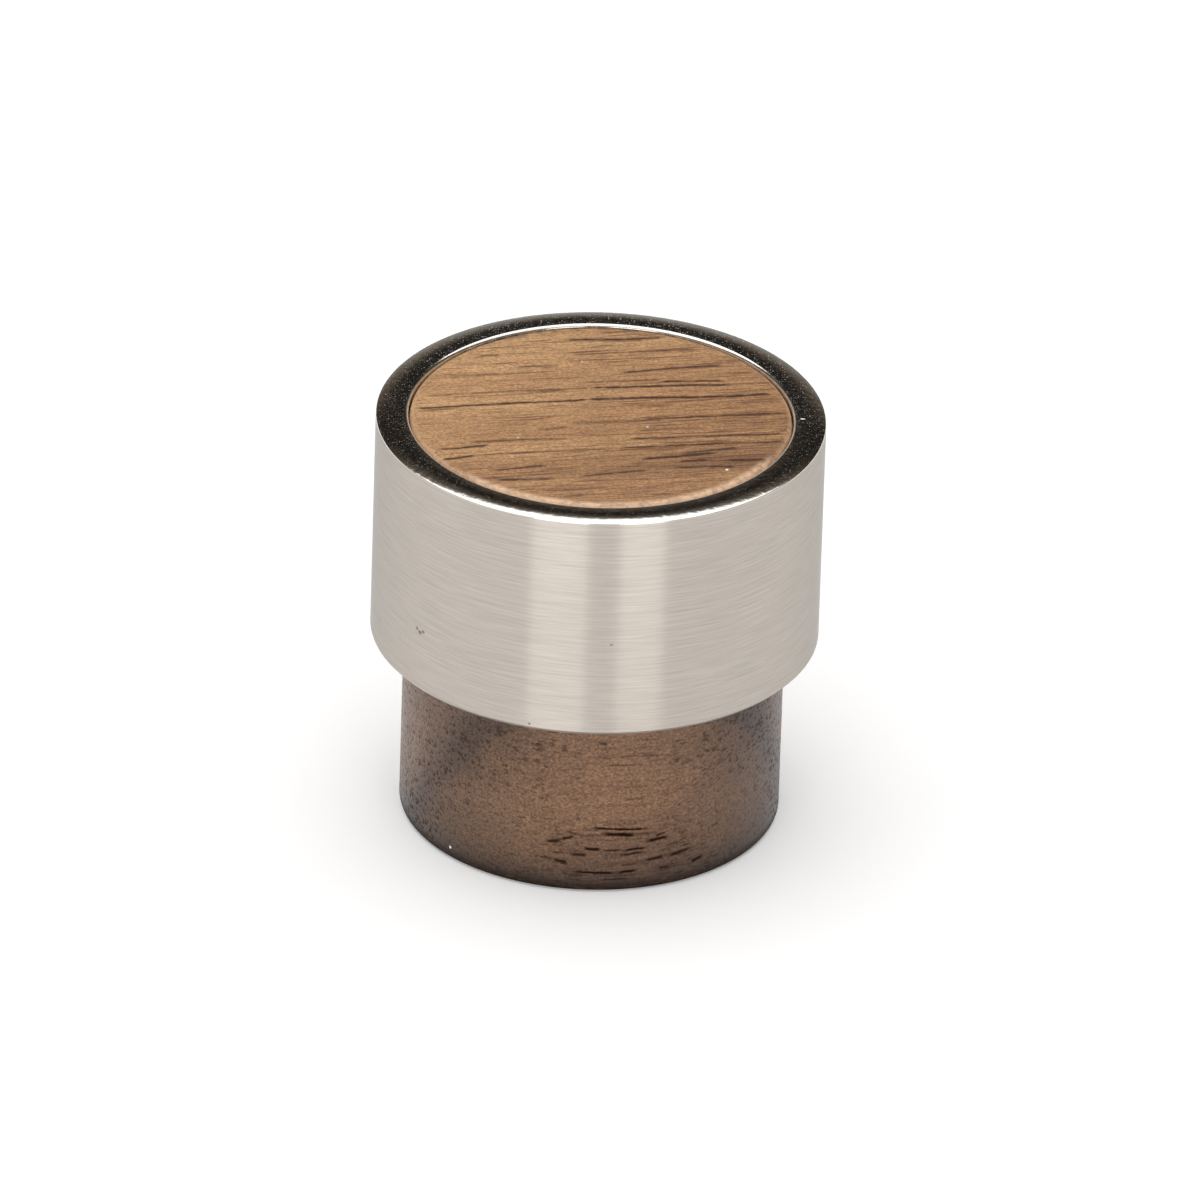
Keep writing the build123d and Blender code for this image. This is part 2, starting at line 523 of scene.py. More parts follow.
        normal = nodes.add("TexCoord").outputs["Normal"]
        upward = nodes.add("Math ABSOLUTE", nodes.add("SeparateXYZ", normal).outputs["Z"])
        facing = nodes.add("VectorMath DOT_PRODUCT", normal, (math.cos(turn), math.sin(turn), 0.0))
        # The disc's rounded edge counts as part of the disc
        low, high = (self.disc_height_mm - drop for drop in self.disc_edge_drop_mm)
        below = nodes.add("MapRange", axes["Z"], low, high, 1.0, 0.0)
        return WoodPlace(
            place_mm=place_mm,
            grain=grain,
            along=axes["X"],
            across=axes["Y"],
            up=axes["Z"],
            layer=layer,
            radius=nodes.from_axis(place_mm),
            sideways=nodes.add("Math MULTIPLY", nodes.add("Math SUBTRACT", 1.0, upward), below),
            end_grain=nodes.add("Math MULTIPLY", nodes.add("Math ABSOLUTE", facing), below),
        )

    def _tone(self, nodes: Nodes, wood: WoodPlace) -> Node:
        """The wood's broad tone, from 0, pale, to 1, dark, with painted shade towards the right.

        Args:
            nodes: the material's nodes.
            wood: where the point lies.

        Returns:
            The tone.
        """
        tone = nodes.levels(wood.layer, self.layer_tones)
        tone = nodes.swayed(tone, nodes.unevenness(wood.grain, self.tone_drift), self.tone_drift_by)
        # Painted shade: the wood darkens towards the right end of the grain, where less light falls
        painted_shade = nodes.add("MapRange", wood.along, *self.painted_shade_along)
        return nodes.add("Math ADD", tone, painted_shade, use_clamp=True)

    def _side(self, nodes: Nodes, wood: WoodPlace, colour: Source) -> Node:
        """Darkens the turned side with painted shade, its end grain, which has taken up more oil, and its
        foot with a painted contact shadow.

        Args:
            nodes: the material's nodes.
            wood: where the point lies.
            colour: the wood's colour on a sanded face.

        Returns:
            The darkened colour.
        """
        # Painted shade on the turned side
        tint = nodes.add("Mix", wood.sideways, grey(1.0), (*self.side_shade_tint, 1.0), data_type="RGBA")
        colour = nodes.add("VectorMath MULTIPLY", colour, tint)
        colour = nodes.add("VectorMath SCALE", colour, nodes.levels(wood.end_grain, self.end_tones))
        # Painted contact shadow: the foot darkens towards the floor, and stops at the flat underside
        inner, outer = (self.core_radius_mm - width for width in self.underside_edge_mm)
        underside = nodes.add("MapRange", wood.radius, inner, outer, self.underside_tone, 0.0)
        foot = nodes.add("Math MAXIMUM", nodes.levels(wood.up, self.foot_contact_shadow), underside)
        return nodes.add("VectorMath SCALE", colour, foot)

    def _strokes(
        self, nodes: Nodes, along: Source, across: Source, rows: tuple[StrokeRow, ...], fade: Span
    ) -> Node:
        """The darkest of many strokes at each point.

        Args:
            nodes: the material's nodes.
            along: place along the grain.
            across: place across it.
            rows: the strokes' fields.
            fade: where their sides start to fade and where they end, in half widths.

        Returns:
            How dark each point is, from 0 to 1.
        """
        masks = [Stroke(*row).mask(nodes, along, across, fade) for row in rows]
        total = masks[0]
        for mask in masks[1:]:
            total = nodes.add("Math MAXIMUM", total, mask)
        return total

    def _lines(self, nodes: Nodes, wood: WoodPlace) -> Node:
        """The dark lines that run over the disc, each a thin dark layer of the wood.

        Args:
            nodes: the material's nodes.
            wood: where the point lies.

        Returns:
            How dark each point is, from 0 to 1.
        """
        tilt = math.radians(self.layer_tilt_deg)
        # On the disc the height is constant, so the distance across the layers gives the one across the disc
        shift = -self.disc_height_mm * math.tan(tilt)
        across = nodes.add("Math MULTIPLY_ADD", wood.layer, 1 / math.cos(tilt), shift)
        across = nodes.swayed(across, nodes.unevenness(wood.grain, self.line_wobble), self.line_wobble_mm)
        total = self._strokes(nodes, wood.along, across, self.lines, self.line_fade)
        # Each line is darkest in its middle and spreads out brown
        total = nodes.add("Math POWER", total, self.line_fall_off)
        broken = nodes.unevenness(wood.grain, self.line_breaks)
        broken = nodes.add("MapRange", broken, *self.line_strength)
        return nodes.add("Math MULTIPLY", total, broken, use_clamp=True)

    def _streaks(self, nodes: Nodes, wood: WoodPlace) -> Node:
        """The many faint brown streaks between the lines, thickest where the wood is dark.

        Args:
            nodes: the material's nodes.
            wood: where the point lies.

        Returns:
            How brown each point is, from 0 to 1.
        """
        fine = nodes.unevenness(wood.grain, self.fine_streaks)
        zones = nodes.unevenness(wood.grain, self.streak_zones)
        chance = nodes.add("Math MULTIPLY_ADD", zones, self.streak_zone_share, fine)
        # They are denser to the right and towards the front
        dense = nodes.add("Math MULTIPLY_ADD", wood.across, self.streak_slant, wood.along)
        chance = nodes.add("Math ADD", chance, nodes.add("MapRange", dense, *self.streak_density))
        streaks = nodes.add("MapRange", chance, *self.streak_strength)
        fainter = nodes.add("MapRange", wood.sideways, *self.streaks_on_side)
        return nodes.add("Math MULTIPLY", streaks, fainter)

    def _edge(self, nodes: Nodes, wood: WoodPlace, widths_mm: Span, easing: str) -> Node:
        """The disc's rounded edge.

        Args:
            nodes: the material's nodes.
            wood: where the point lies.
            widths_mm: how far inside the core's radius it starts and is full.
            easing: how it grows from one to the other.

        Returns:
            1 on the edge, 0 inside it and below it.
        """
        radii = (self.core_radius_mm - width for width in widths_mm)
        heights = (self.disc_height_mm - drop for drop in self.disc_edge_drop_mm)
        near = nodes.add("MapRange", wood.radius, *radii, interpolation_type=easing)
        return nodes.add("Math MULTIPLY", near, nodes.add("MapRange", wood.up, *heights))

    def _worn_and_highlit_edge(self, nodes: Nodes, wood: WoodPlace) -> Node:
        """The disc's softened edge: pale and ragged in front, a painted highlight for the light the rounding
        catches, with wear; pale wear specks elsewhere.

        Args:
            nodes: the material's nodes.
            wood: where the point lies.

        Returns:
            How pale each point is, from 0 to 1.
        """
        patches = nodes.unevenness(wood.place_mm, self.pale_edge_patches)
        # Painted highlight: the front of the rounded edge is pale where it catches the light, with wear
        # patches on top
        front_pale = nodes.add("MapRange", wood.across, *self.front_highlight_and_wear, interpolation_type="SMOOTHSTEP")
        ragged = nodes.add("Math MULTIPLY", front_pale, nodes.add("MapRange", patches, *self.front_highlight_and_wear_strength))
        # Elsewhere only the very corner is pale
        radii = (self.core_radius_mm - width for width in self.pale_corner_mm)
        corner = nodes.add("MapRange", wood.radius, *radii)
        around = nodes.add("MapRange", wood.across, *self.specks_to_back)
        specks = nodes.add("Math MULTIPLY", nodes.add("MapRange", patches, *self.speck_strength), around)
        specks = nodes.add("Math MULTIPLY", specks, corner)
        edge = self._edge(nodes, wood, self.worn_and_highlit_edge_mm, "SMOOTHSTEP")
        return nodes.add("Math MULTIPLY", edge, nodes.add("Math MAXIMUM", ragged, specks))

    def _shaded_edge(self, nodes: Nodes, wood: WoodPlace) -> Node:
        """Painted shade on the far side of the disc's edge, where the metal lip shades it, broken into ragged
        patches.

        Args:
            nodes: the material's nodes.
            wood: where the point lies.

        Returns:
            How dark each point is, from 0 to 1.
        """
        far = nodes.add("MapRange", wood.across, *self.shaded_back)
        edge = nodes.add("Math MULTIPLY", self._edge(nodes, wood, self.shaded_edge_mm, "LINEAR"), far)
        # Painted shade: ragged dark patches along the shaded edge
        shade_breakup = nodes.unevenness(wood.place_mm, self.edge_shade_breakup)
        return nodes.add("Math MULTIPLY", edge, nodes.add("MapRange", shade_breakup, *self.edge_shade_breakup_strength))

    def _pores(self, nodes: Nodes, wood: WoodPlace) -> Node:
        """Open vessels: dashes where the surface runs along the grain, dots on the end grain.

        Args:
            nodes: the material's nodes.
            wood: where the point lies.

        Returns:
            How deep in a vessel each point is, from 0 to 1.
        """
        # The vessels are long tubes that wander a little, so their section is a flat pattern of cells
        moved = wood.grain
        for grain, by_mm in (
            (self.vessel_wander, self.vessel_wander_mm),
            (self.vessel_raggedness, self.vessel_raggedness_mm),
        ):
            push = nodes.unevenness(wood.grain, grain).outputs["Color"]
            moved = nodes.add("VectorMath MULTIPLY_ADD", push, (by_mm, by_mm, by_mm), moved)
        axes = nodes.add("SeparateXYZ", moved).outputs
        section = nodes.add("CombineXYZ", axes["Y"], axes["Z"])
        cells = nodes.add("TexVoronoi", section, self.vessels_per_mm, voronoi_dimensions="2D").outputs
        chance = nodes.add("SeparateColor", cells["Color"]).outputs

        # The layers laid down in spring hold more and larger vessels
        crowd = nodes.levels(wood.layer, self.vessel_bands)
        largest = nodes.add("MapRange", crowd, *self.vessel_size)
        reach = nodes.add("Math MULTIPLY", chance[0], largest)
        inside = nodes.add("Math SUBTRACT", reach, cells["Distance"])
        shape = nodes.add("MapRange", inside, *self.vessel_edge)
        strength = nodes.add("MapRange", chance[1], *self.vessel_strength)
        small = nodes.add("Math MULTIPLY", shape, nodes.add("Math MULTIPLY", strength, crowd))
        # Sanding has filled those on the disc, and fewer lie open at the right
        open_part = nodes.add("MapRange", wood.sideways, *self.vessels_on_side)
        small = nodes.add("Math MULTIPLY", small, open_part)
        small = nodes.add("Math MULTIPLY", small, nodes.add("MapRange", wood.along, *self.vessels_along))

        # The largest ones lie open where the front of the stem cuts them lengthways
        sway = nodes.unevenness(wood.grain, self.open_vessel_sway)
        ragged = nodes.swayed(wood.up, sway, self.open_vessel_sway_mm)
        large = self._strokes(nodes, wood.along, ragged, self.open_vessels, self.vessel_fade)
        front = nodes.add("MapRange", wood.across, *self.open_front)
        return nodes.add("Math MAXIMUM", small, nodes.add("Math MULTIPLY", large, front))


@dataclass(frozen=True)
class SatinNickel:
    """Satin nickel plate, brushed round the collar: pale warm grey, with long soft upright highlights."""

    colour: str = "c0b8af"
    stain: str = "5f564b"
    roughness: float = 0.26
    anisotropy: float = 1.0
    quarter_turn: float = 0.25
    edge_tint: float = 0.72
    # Brush lines run round the wall. Real ones are a few hundredths of a millimetre apart, too fine
    # to show, so these are coarser, some 0.06 mm apart
    brush_lines: Grain = (0.3, 0.3, 16.0, 2.0)
    brush_shade: Rescale = (0.3, 0.7, 0.88, 1.09)
    bump_mm: float = 0.01
    bump_strength: float = 0.06
    marks: tuple[Mark, ...] = (
        Mark((-12.33, -10.20, 18.80), (0.24, 0.26, 0.20), 0.75),
        Mark((-12.54, -9.94, 18.98), (0.20, 0.22, 0.20), 0.6),
        Mark((-12.11, -10.46, 18.98), (0.22, 0.24, 0.16), 0.7),
        Mark((1.25, -15.95, 21.44), (0.16, 0.3, 0.10), 0.6),
        Mark((-4.37, -15.39, 14.56), (0.14, 0.3, 0.12), 0.7),
    )

    def build(self) -> Material:
        """Makes the material.

        Returns:
            The material.
        """
        material = bpy.data.materials.new("satin_nickel_brushed")
        nodes = Nodes(material)
        place_mm = nodes.place_mm()
        brush = nodes.unevenness(place_mm, self.brush_lines)
        shade = nodes.add("MapRange", brush, *self.brush_shade)
        colour = nodes.add("VectorMath SCALE", hex_colour(self.colour)[:3], shade)
        colour = nodes.stained(colour, *((mark.mask(nodes, place_mm), self.stain) for mark in self.marks))
        relief = {"Height": brush, "Strength": self.bump_strength, "Distance": self.bump_mm * MM}
        surface = {
            "Base Color": colour,
            "Metallic": 1.0,
            "Roughness": self.roughness,
            "Anisotropic": self.anisotropy,
            "Anisotropic Rotation": self.quarter_turn,
            "Specular Tint": grey(self.edge_tint),
            "Normal": nodes.add("Bump", named=relief),
        }
        nodes.add("OutputMaterial", nodes.add("BsdfPrincipled", named=surface))
        return material


@dataclass(frozen=True)
class PolishedNickel:
    """Buffed nickel plate on the rim: a clear mirror, dark where the room is dark, under fine dust and one
    painted glint.
    """

    colour: str = "e2ddd4"
    dust: str = "f4f2ee"
    # Buffing leaves the plate wavy by about a hundredth of a millimetre, every half millimetre or so
    waves: Grain = (2.2, 2.2, 2.2, 3.0)
    wave_mm: float = 0.009
    wave_roughness: Rescale = (0.35, 0.7, 0.06, 0.10)
    film_patches: Grain = (6.0, 6.0, 6.0, 2.0)
    film_opacity: Rescale = (0.42, 0.72, 0.0, 0.014)
    grain_reach: Rescale = (0.2, 1.0, 0.0, 0.36)
    grain_edge: Rescale = (-0.12, 0.16, 0.0, 1.0)
    grain_opacity: Rescale = (0.2, 1.0, 0.02, 0.22)
    dust_to_back: Rescale = (-6.0, 14.0, 0.8, 1.9)
    specks_per_mm: float = 6.0
    # Painted highlight: the glint of a tiny nick on the rim, drawn as a spot of the pale dust finish
    painted_glint: Mark = Mark((14.31, 0.40, 31.25), (0.24, 0.12, 0.3))

    def build(self) -> Material:
        """Makes the material.

        Returns:
            The material.
        """
        material = bpy.data.materials.new("polished_nickel")
        nodes = Nodes(material)
        place_mm = nodes.place_mm()
        waves = nodes.unevenness(place_mm, self.waves)
        # The waves make the edges of its reflections ragged
        relief = {"Height": waves, "Strength": 1.0, "Distance": self.wave_mm * MM}
        plate = {
            "Base Color": hex_colour(self.colour),
            "Metallic": 1.0,
            "Roughness": nodes.add("MapRange", waves, *self.wave_roughness),
            "Normal": nodes.add("Bump", named=relief),
        }
        metal = nodes.add("BsdfPrincipled", named=plate)

        # Dust: a thin uneven film, and soft grains that stand out against the dark reflection
        film = nodes.unevenness(place_mm, self.film_patches)
        film = nodes.add("MapRange", film, *self.film_opacity)
        cells = nodes.add("TexVoronoi", place_mm, self.specks_per_mm, voronoi_dimensions="2D").outputs
        chance = nodes.add("SeparateColor", cells["Color"]).outputs
        reach = nodes.add("MapRange", chance[0], *self.grain_reach)
        inside = nodes.add("Math SUBTRACT", reach, cells["Distance"])
        grains = nodes.add("MapRange", inside, *self.grain_edge)
        opacity = nodes.add("MapRange", chance[1], *self.grain_opacity)
        grains = nodes.add("Math MULTIPLY", grains, opacity)
        # The side away from the hand has gathered more of it
        depth = nodes.add("SeparateXYZ", place_mm).outputs["Y"]
        far = nodes.add("MapRange", depth, *self.dust_to_back)
        dusty = nodes.add("Math MULTIPLY", nodes.add("Math ADD", film, grains), far)
        # The glint is a painted highlight, mixed in with the dust
        amount = nodes.add("Math MAXIMUM", dusty, self.painted_glint.mask(nodes, place_mm))
        dust = nodes.add("BsdfDiffuse", hex_colour(self.dust))
        nodes.add("OutputMaterial", nodes.add("MixShader", amount, metal, dust))
        return material


@dataclass(frozen=True)
class TurnedBrass:
    """Machined brass, a little dulled: yellow, with the fine rings that the lathe leaves."""

    colour: str = "c9a566"
    # The lathe's rings are some 0.1 mm apart, and the tarnish lies in patches of a millimetre or two
    lathe_rings: Grain = (9.0, 9.0, 1.0, 2.0)
    tarnish_patches: Grain = (0.7, 0.7, 0.7, 3.0)
    ring_shade: Rescale = (0.3, 0.7, 0.90, 1.04)
    tarnish_shade: Rescale = (0.35, 0.65, 0.86, 1.03)
    tarnish_roughness: Rescale = (0.35, 0.65, 0.38, 0.30)
    bump_mm: float = 0.01
    bump_strength: float = 0.25

    def build(self) -> Material:
        """Makes the material.

        Returns:
            The material.
        """
        material = bpy.data.materials.new("turned_brass")
        nodes = Nodes(material)
        place_mm = nodes.place_mm()
        up = nodes.add("SeparateXYZ", place_mm).outputs["Z"]
        section = nodes.add("CombineXYZ", nodes.from_axis(place_mm), up)
        rings = nodes.unevenness(section, self.lathe_rings)
        tarnish = nodes.unevenness(place_mm, self.tarnish_patches)
        colour = hex_colour(self.colour)[:3]
        colour = nodes.add("VectorMath SCALE", colour, nodes.add("MapRange", rings, *self.ring_shade))
        colour = nodes.add("VectorMath SCALE", colour, nodes.add("MapRange", tarnish, *self.tarnish_shade))
        relief = {"Height": rings, "Strength": self.bump_strength, "Distance": self.bump_mm * MM}
        surface = {
            "Base Color": colour,
            "Metallic": 1.0,
            "Roughness": nodes.add("MapRange", tarnish, *self.tarnish_roughness),
            "Normal": nodes.add("Bump", named=relief),
        }
        nodes.add("OutputMaterial", nodes.add("BsdfPrincipled", named=surface))
        return material


@dataclass(frozen=True)
class StudioPaper:
    """Matt white paper for the floor, lifted a little for the camera so that it reads as pure white."""

    colour: str = "f7f7f7"
    glow: str = "ffffff"
    lift: float = 0.21

    def build(self) -> Material:
        """Makes the material.

        Returns:
            The material.
        """
        material = bpy.data.materials.new("studio_paper")
        nodes = Nodes(material)
        paper = nodes.add("BsdfDiffuse", hex_colour(self.colour))
        ray = nodes.add("LightPath").outputs
        seen = nodes.add("Math MAXIMUM", ray["Is Camera Ray"], ray["Is Glossy Ray"])
        seen = nodes.add("Math MAXIMUM", seen, ray["Is Transmission Ray"])
        glow = nodes.add("Emission", hex_colour(self.glow), nodes.add("Math MULTIPLY", seen, self.lift))
        nodes.add("OutputMaterial", nodes.add("AddShader", paper, glow))
        return material


# Turning


class TurnedProfile:
    """A half section in the XZ plane, drawn stretch by stretch and then spun about the Z axis."""

    def __init__(self, radius: float, height: float) -> None:
        """Starts the section at a point.

        Args:
            radius: distance from the axis.
            height: place along the axis.
        """
        self.shape = bmesh.new()
        self.tip = self.shape.verts.new((radius, 0.0, height))
        self.start = self.tip

    def line_to(self, radius: float, height: float) -> "TurnedProfile":
        """Draws a straight stretch to a point.

        Args:
            radius: the point's distance from the axis.
            height: its place along the axis.

        Returns:
            The profile.
        """
        end = self.shape.verts.new((radius, 0.0, height))
        self.shape.edges.new((self.tip, end))
        self.tip = end
        return self

    def arc(self, centre_radius: float, centre_height: float, degrees: float, steps: int) -> "TurnedProfile":
        """Draws an arc by turning the tip about a centre.

        Args:
            centre_radius: the centre's distance from the axis.
            centre_height: the centre's place along the axis.
            degrees: how far to turn, from the X axis towards the Z axis.
            steps: how many straight edges make the arc.

        Returns:
            The profile.
        """
        made = bmesh.ops.spin(
            self.shape,
            geom=[self.tip],
            cent=(centre_radius, 0.0, centre_height),
            axis=(0.0, 1.0, 0.0),
            angle=-math.radians(degrees),
            steps=steps,
            use_duplicate=False,
        )
        self.tip = next(part for part in made["geom_last"] if isinstance(part, bmesh.types.BMVert))
        return self

    def close(self) -> "TurnedProfile":
        """Joins the tip to the start, for a ring that doesn't reach the axis."""
        self.shape.edges.new((self.tip, self.start))
        return self

    def turn(self, steps: int) -> BMesh:
        """Spins the section into a closed shape.

        Args:
            steps: facets round the axis.

        Returns:
            The shape, with its faces outwards.
        """
        bmesh.ops.spin(
            self.shape,
            geom=self.shape.verts[:] + self.shape.edges[:],
            cent=(0.0, 0.0, 0.0),
            axis=(0.0, 0.0, 1.0),
            angle=math.tau,
            steps=steps,
            use_merge=True,
        )
        bmesh.ops.remove_doubles(self.shape, verts=self.shape.verts[:], dist=MERGE_DISTANCE)
        bmesh.ops.recalc_face_normals(self.shape, faces=self.shape.faces[:])
        return self.shape


def finish_piece(
    shape: BMesh,
    name: str,
    node: str,
    materials: list[Material],
    sharp_deg: float,
) -> bpy.types.Object:
    """Turns a shape into a piece of the knob.

    Args:
        shape: the finished mesh, which is freed.
        name: the piece's name.
        node: the CAD node that it stands for.
        materials: its materials, in the order that its faces number them.
        sharp_deg: edges that bend more than this stay sharp.

    Returns:
        The new object.
    """
    mesh = bpy.data.meshes.new(name)
    shape.to_mesh(mesh)
    shape.free()
    for material in materials:
        mesh.materials.append(material)
    mesh.shade_smooth()
    mesh.set_sharp_from_angle(angle=math.radians(sharp_deg))
    piece = bpy.data.objects.new(name, mesh)
    bpy.context.scene.collection.objects.link(piece)
    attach(piece, BODY)
    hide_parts(node)
    log.info("%s: %d faces", name, len(mesh.polygons))
    return piece


@dataclass
class WalnutCore:
    """The turned core: stem, the part inside the collar and the disc inside the rim."""

    radius: float
    top: float
    foot_round: float = 0.6 * MM
    top_round: float = 0.5 * MM
    pocket_radius: float = 3.5 * MM
    pocket_depth: float = 11.3 * MM
    tip_hole_radius: float = 2.25 * MM
    tip_hole_depth: float = 16.0 * MM
    drill_cone_deg: float = 31.0
    facets: int = 192
    arc_steps: int = 8
    sharp_deg: float = 40.0

    def build(self, walnut: Material) -> bpy.types.Object:
        """Turns the core and gives it its wood.

        Args:
            walnut: the wood.

        Returns:
            The piece.
        """
        cone_height = self.tip_hole_radius * math.tan(math.radians(self.drill_cone_deg))
        profile = TurnedProfile(0.0, self.tip_hole_depth + cone_height)
        profile.line_to(self.tip_hole_radius, self.tip_hole_depth)
        profile.line_to(self.tip_hole_radius, self.pocket_depth)
        profile.line_to(self.pocket_radius, self.pocket_depth)
        profile.line_to(self.pocket_radius, 0.0)
        profile.line_to(self.radius - self.foot_round, 0.0)
        profile.arc(self.radius - self.foot_round, self.foot_round, 90.0, self.arc_steps)
        profile.line_to(self.radius, self.top - self.top_round)
        profile.arc(self.radius - self.top_round, self.top - self.top_round, 90.0, self.arc_steps)
        profile.line_to(0.0, self.top)
        shape = profile.turn(self.facets)
        return finish_piece(shape, "walnut_core", "wood_core", [walnut], self.sharp_deg)


@dataclass
class NickelCollar:
    """The metal sleeve: a brushed wall, a polished rim and a relieved mouth round the wood."""

    radius: float
    bore_radius: float
    foot: float
    rim: float
    mouth_gap: float = 0.07 * MM
    mouth_depth: float = 1.0 * MM
    mouth_edge: float = 0.26 * MM
    crown_radius: float = 5.9 * MM
    crown_deg: float = 12.0
    corner_radius: float = 0.085 * MM
    foot_edge: float = 0.3 * MM
    bore_edge: float = 0.25 * MM
    facets: int = 256
    arc_steps: int = 8
    sharp_deg: float = 30.0

    def build(self, wall: Material, rim: Material) -> bpy.types.Object:
        """Turns the collar, and gives its wall and its rim their own finish.

        Args:
            wall: the brushed finish of the outside.
            rim: the polished finish of the rim, its edges and the bore.

        Returns:
            The piece.
        """
        mouth_radius = self.bore_radius + self.mouth_gap
        crown = math.radians(self.crown_deg)
        corner_width = self.corner_radius * (1 - math.sin(crown))
        crown_start = self.radius - corner_width - self.crown_radius * math.sin(crown)
        crown_end_height = self.rim - self.crown_radius * (1 - math.cos(crown))
        corner_height = crown_end_height - self.corner_radius * math.cos(crown)
        profile = TurnedProfile(self.bore_radius, self.foot + self.bore_edge)
        profile.line_to(self.bore_radius, self.rim - self.mouth_depth)
        profile.line_to(mouth_radius, self.rim - self.mouth_depth)
        profile.line_to(mouth_radius, self.rim - self.mouth_edge)
        profile.arc(mouth_radius + self.mouth_edge, self.rim - self.mouth_edge, -90.0, self.arc_steps)
        profile.line_to(crown_start, self.rim)
        profile.arc(crown_start, self.rim - self.crown_radius, -self.crown_deg, self.arc_steps)
        profile.arc(self.radius - self.corner_radius, corner_height, self.crown_deg - 90.0, self.arc_steps)
        profile.line_to(self.radius, self.foot + self.foot_edge)
        profile.line_to(self.radius - self.foot_edge, self.foot)
        profile.line_to(self.bore_radius + self.bore_edge, self.foot)
        shape = profile.close().turn(self.facets)
        for face in shape.faces:
            middle = face.calc_center_median()
            on_wall = middle.xy.length > self.radius - self.foot_edge and middle.z < corner_height
            face.material_index = 0 if on_wall else 1
        return finish_piece(shape, "nickel_collar", "collar", [wall, rim], self.sharp_deg)


